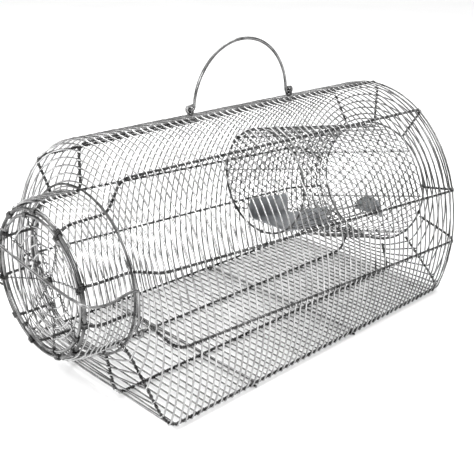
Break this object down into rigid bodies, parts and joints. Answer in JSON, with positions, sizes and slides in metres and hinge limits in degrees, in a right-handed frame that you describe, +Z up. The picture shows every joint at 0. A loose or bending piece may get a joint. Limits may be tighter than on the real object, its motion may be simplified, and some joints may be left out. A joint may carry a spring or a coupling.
{
  "type": "live catch trap",
  "caption": "Arched wire cage with a round capped neck at one end, a round funnel entrance with a see-saw trough at the other, and a wire carrying handle on the ridge.",
  "frame": {"origin": "middle of the body's length and width, on the flat underside of the floor", "axes": "+X from the capped neck to the funnel entrance, +Y to the left seen from the neck, +Z up"},
  "size_m": [0.4574, 0.2432, 0.2837],
  "materials": {
    "winding_wire": "bright galvanised drawn wire",
    "heavy_wire": "bright galvanised drawn wire, thicker gauge",
    "sheet_steel": "galvanised sheet with a soft spangle"
  },
  "bodies": {
    "cage": {"panel_roof_right": "winding_wire", "panel_shoulder_right": "winding_wire", "panel_wall_right": "winding_wire", "panel_side_right": "winding_wire", "panel_floor_right": "winding_wire", "panel_floor_middle": "winding_wire", "panel_floor_left": "winding_wire", "panel_side_left": "winding_wire", "panel_wall_left": "winding_wire", "panel_shoulder_left": "winding_wire", "panel_roof_left": "winding_wire", "rib_ridge": "winding_wire", "rib_roof_right": "winding_wire", "rib_shoulder_right": "winding_wire", "rib_wall_right": "winding_wire", "rib_corner_right": "winding_wire", "rib_floor_right": "winding_wire", "rib_floor_left": "winding_wire", "rib_corner_left": "winding_wire", "rib_wall_left": "winding_wire", "rib_shoulder_left": "winding_wire", "rib_roof_left": "winding_wire", "front_face_upper_right": "winding_wire", "front_face_lower_right": "winding_wire", "front_face_bottom": "winding_wire", "front_face_lower_left": "winding_wire", "front_face_upper_left": "winding_wire", "rear_face_upper_right": "winding_wire", "rear_face_lower_right": "winding_wire", "rear_face_bottom": "winding_wire", "rear_face_lower_left": "winding_wire", "rear_face_upper_left": "winding_wire", "neck_winding": "winding_wire", "entrance_funnel": "winding_wire", "handle_eye_front": "winding_wire", "handle_eye_rear": "winding_wire", "neck_base_ring": "heavy_wire", "mouth_ring": "heavy_wire", "entrance_ring": "heavy_wire", "funnel_end_ring": "heavy_wire", "floor_crossbar_front": "heavy_wire", "floor_crossbar_rear": "heavy_wire", "cap_hinge_staple": "heavy_wire", "latch_keeper": "heavy_wire", "axle_bracket_left": "sheet_steel", "axle_bracket_right": "sheet_steel"},
    "handle": {"carrying_handle": "heavy_wire"},
    "cap": {"cap_ring": "heavy_wire", "cap_wheel": "winding_wire", "cap_hinge_loop_upper": "winding_wire", "cap_hinge_loop_lower": "winding_wire", "latch_pivot_staple": "winding_wire"},
    "latch": {"latch_wire": "heavy_wire"},
    "see_saw": {"tilt_plate": "sheet_steel", "plate_counterweight": "sheet_steel", "weight_arm_left": "heavy_wire", "weight_arm_right": "heavy_wire", "plate_axle": "heavy_wire"}
  },
  "joints": [
    {"name": "handle_swing", "type": "hinge", "parent": "cage", "child": "handle", "pos_m": [-0.015, 0, 0.2244], "axis": [1, 0, 0], "range_deg": [-98, 98]},
    {"name": "cap_hinge", "type": "hinge", "parent": "cage", "child": "cap", "pos_m": [-0.2406, 0.071, 0.109], "axis": [0, 0, -1], "range_deg": [0, 100]},
    {"name": "latch_swing", "type": "hinge", "parent": "cap", "child": "latch", "pos_m": [-0.2486, 0.056, 0.136], "axis": [0, 0, -1], "range_deg": [0, 70]},
    {"name": "plate_tilt", "type": "hinge", "parent": "cage", "child": "see_saw", "pos_m": [0.08, 0, 0.083], "axis": [0, -1, 0], "range_deg": [0, 26]}
  ]
}
